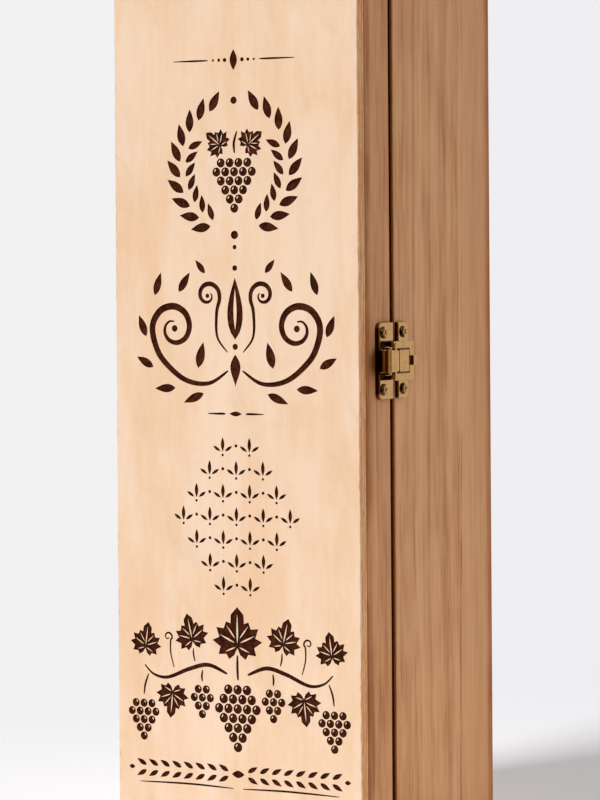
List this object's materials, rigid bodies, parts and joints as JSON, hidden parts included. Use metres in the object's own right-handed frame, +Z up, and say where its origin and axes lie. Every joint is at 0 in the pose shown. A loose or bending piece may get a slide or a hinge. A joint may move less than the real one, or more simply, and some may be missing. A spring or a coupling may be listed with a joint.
{
  "type": "wooden wine box",
  "caption": "Tall wooden wine box: a pine tray and shallow hinged lid with plywood panels, an engraved front and a brass-plated duckbill latch.",
  "frame": {"origin": "middle of the foot, on the outer face of the tray's bottom end, halfway across the box's width and depth", "axes": "+Z up along the box as it stands on its end, +X to the latch side, -Y to the front of the lid"},
  "size_m": [0.1106, 0.1, 0.35],
  "materials": {
    "pine": "satin",
    "plywood": "satin",
    "brass_hardware": "polished",
    "nail_steel": "satin"
  },
  "bodies": {
    "tray": {"tray_left_side": "pine", "tray_right_side": "pine", "tray_top_end": "pine", "tray_bottom_end": "pine", "tray_back_panel": "plywood", "tray_nails": "nail_steel", "upper_hinge_tray_leaf": "brass_hardware", "upper_hinge_pin": "brass_hardware", "lower_hinge_tray_leaf": "brass_hardware", "lower_hinge_pin": "brass_hardware", "hinge_tray_screws": "brass_hardware", "latch_catch_plate": "brass_hardware", "latch_catch_screws": "brass_hardware"},
    "lid": {"lid_front_panel": "plywood", "lid_left_rail": "pine", "lid_right_rail": "pine", "lid_top_rail": "pine", "lid_bottom_rail": "pine", "lid_nails": "nail_steel", "upper_hinge_lid_leaf": "brass_hardware", "lower_hinge_lid_leaf": "brass_hardware", "hinge_lid_screws": "brass_hardware", "latch_base_plate": "brass_hardware", "latch_pin": "brass_hardware", "latch_base_screws": "brass_hardware"},
    "latch_lever": {"latch_lever": "brass_hardware"}
  },
  "joints": [
    {"name": "lid_hinge", "type": "hinge", "parent": "tray", "child": "lid", "pos_m": [-0.05221, -0.026, 0.175], "axis": [0, 0, -1], "range_deg": [0, 180]},
    {"name": "lever_hinge", "type": "hinge", "parent": "lid", "child": "latch_lever", "pos_m": [0.05376, -0.0368, 0.175], "axis": [0, 0, -1], "range_deg": [0, 180]}
  ]
}
